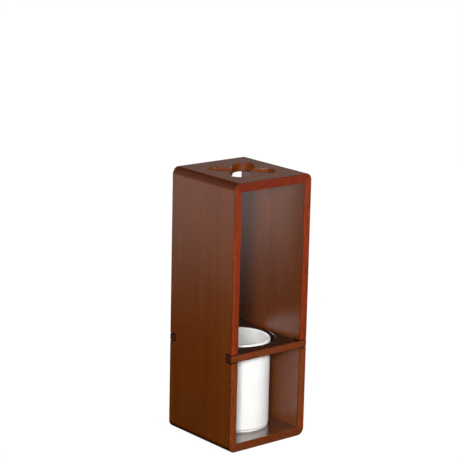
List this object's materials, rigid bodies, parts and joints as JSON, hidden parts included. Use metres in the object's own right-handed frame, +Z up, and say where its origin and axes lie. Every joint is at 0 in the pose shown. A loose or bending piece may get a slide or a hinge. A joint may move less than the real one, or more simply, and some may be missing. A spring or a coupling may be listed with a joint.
{
  "type": "wooden vase",
  "caption": "Tall square wooden vase frame, open front and back, with a cross-shaped stem cutout on top and a shelf that steadies a lift-out white glass cylinder.",
  "frame": {"origin": "middle of the underside, on the surface that the vase stands on", "axes": "+X across the width, +Y from the open front to the open back, +Z up"},
  "size_m": [0.1, 0.1, 0.2784],
  "materials": {
    "stained_wood": "brown stained hardwood under satin lacquer",
    "tongue_wood": "bare sawn beech, glued in and out of sight",
    "white_glass": "white opal glass, polished"
  },
  "bodies": {
    "frame": {"left_side": "stained_wood", "right_side": "stained_wood", "top_board": "stained_wood", "bottom_board": "stained_wood", "shelf": "stained_wood", "tongue_top_left": "tongue_wood", "tongue_top_right": "tongue_wood", "tongue_bottom_left": "tongue_wood", "tongue_bottom_right": "tongue_wood"},
    "glass": {"glass_cylinder": "white_glass"}
  },
  "joints": [
    {"name": "glass_lift", "type": "slide", "parent": "frame", "child": "glass", "axis": [0, 0, 1], "range_m": [0, 0.165]}
  ]
}
